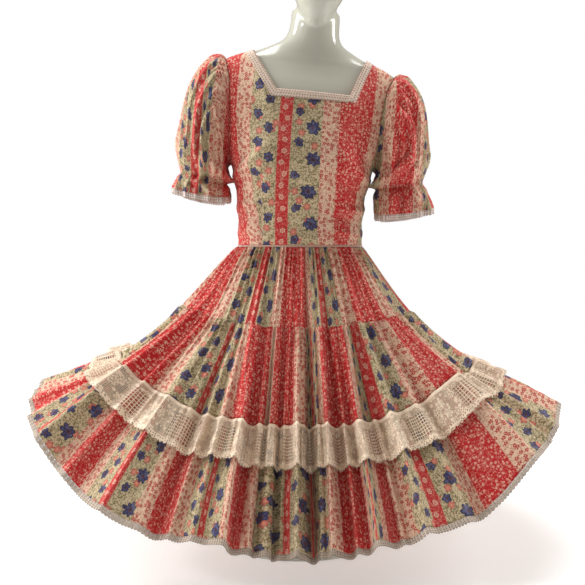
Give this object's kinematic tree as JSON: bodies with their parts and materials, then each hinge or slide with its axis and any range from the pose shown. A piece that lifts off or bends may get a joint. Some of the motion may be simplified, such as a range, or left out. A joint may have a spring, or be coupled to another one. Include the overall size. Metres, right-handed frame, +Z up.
{
  "type": "square dance dress on dress form",
  "caption": "Tiered full-skirted square dance dress with square neck, puffed short sleeves and a lace flounce, on a limbless dress form with a low stand.",
  "frame": {"origin": "middle of the base's underside, on the surface that the stand rests on", "axes": "+Z up along the pole, -Y the way the dress faces, +X the wearer's left"},
  "size_m": [1.0734, 0.8598, 1.255],
  "materials": {
    "printed_cotton": "plain weave, striped flower print",
    "cotton_lace": "open cotton lace",
    "piping": "cotton covered cord",
    "zip_tape": "nylon zip",
    "zip_metal": "plain cast metal",
    "form_shell": "glossy moulded shell",
    "stand_paint": "satin paint",
    "stand_metal": "brushed tube"
  },
  "bodies": {
    "dress": {"bodice_front": "printed_cotton", "bodice_back_left": "printed_cotton", "bodice_back_right": "printed_cotton", "sleeve_left": "printed_cotton", "sleeve_right": "printed_cotton", "skirt_tier_1": "printed_cotton", "skirt_tier_2": "printed_cotton", "skirt_tier_3": "printed_cotton", "neck_trim_front": "cotton_lace", "neck_trim_back_left": "cotton_lace", "neck_trim_back_right": "cotton_lace", "sleeve_trim_left": "cotton_lace", "sleeve_trim_right": "cotton_lace", "lace_flounce": "cotton_lace", "hem_trim": "cotton_lace", "waist_piping": "piping", "zip_chain": "zip_tape", "zip_slider": "zip_metal", "form_body": "form_shell", "form_socket": "form_shell", "form_base": "stand_paint", "form_pole": "stand_metal"},
    "zip_pull": {"zip_pull": "zip_metal"}
  },
  "joints": [
    {"name": "zip_pull_swing", "type": "hinge", "parent": "dress", "child": "zip_pull", "pos_m": [0.01632, 0.09744, 0.91363], "axis": [0.9949, 0, -0.1005], "range_deg": [0, 150]}
  ]
}
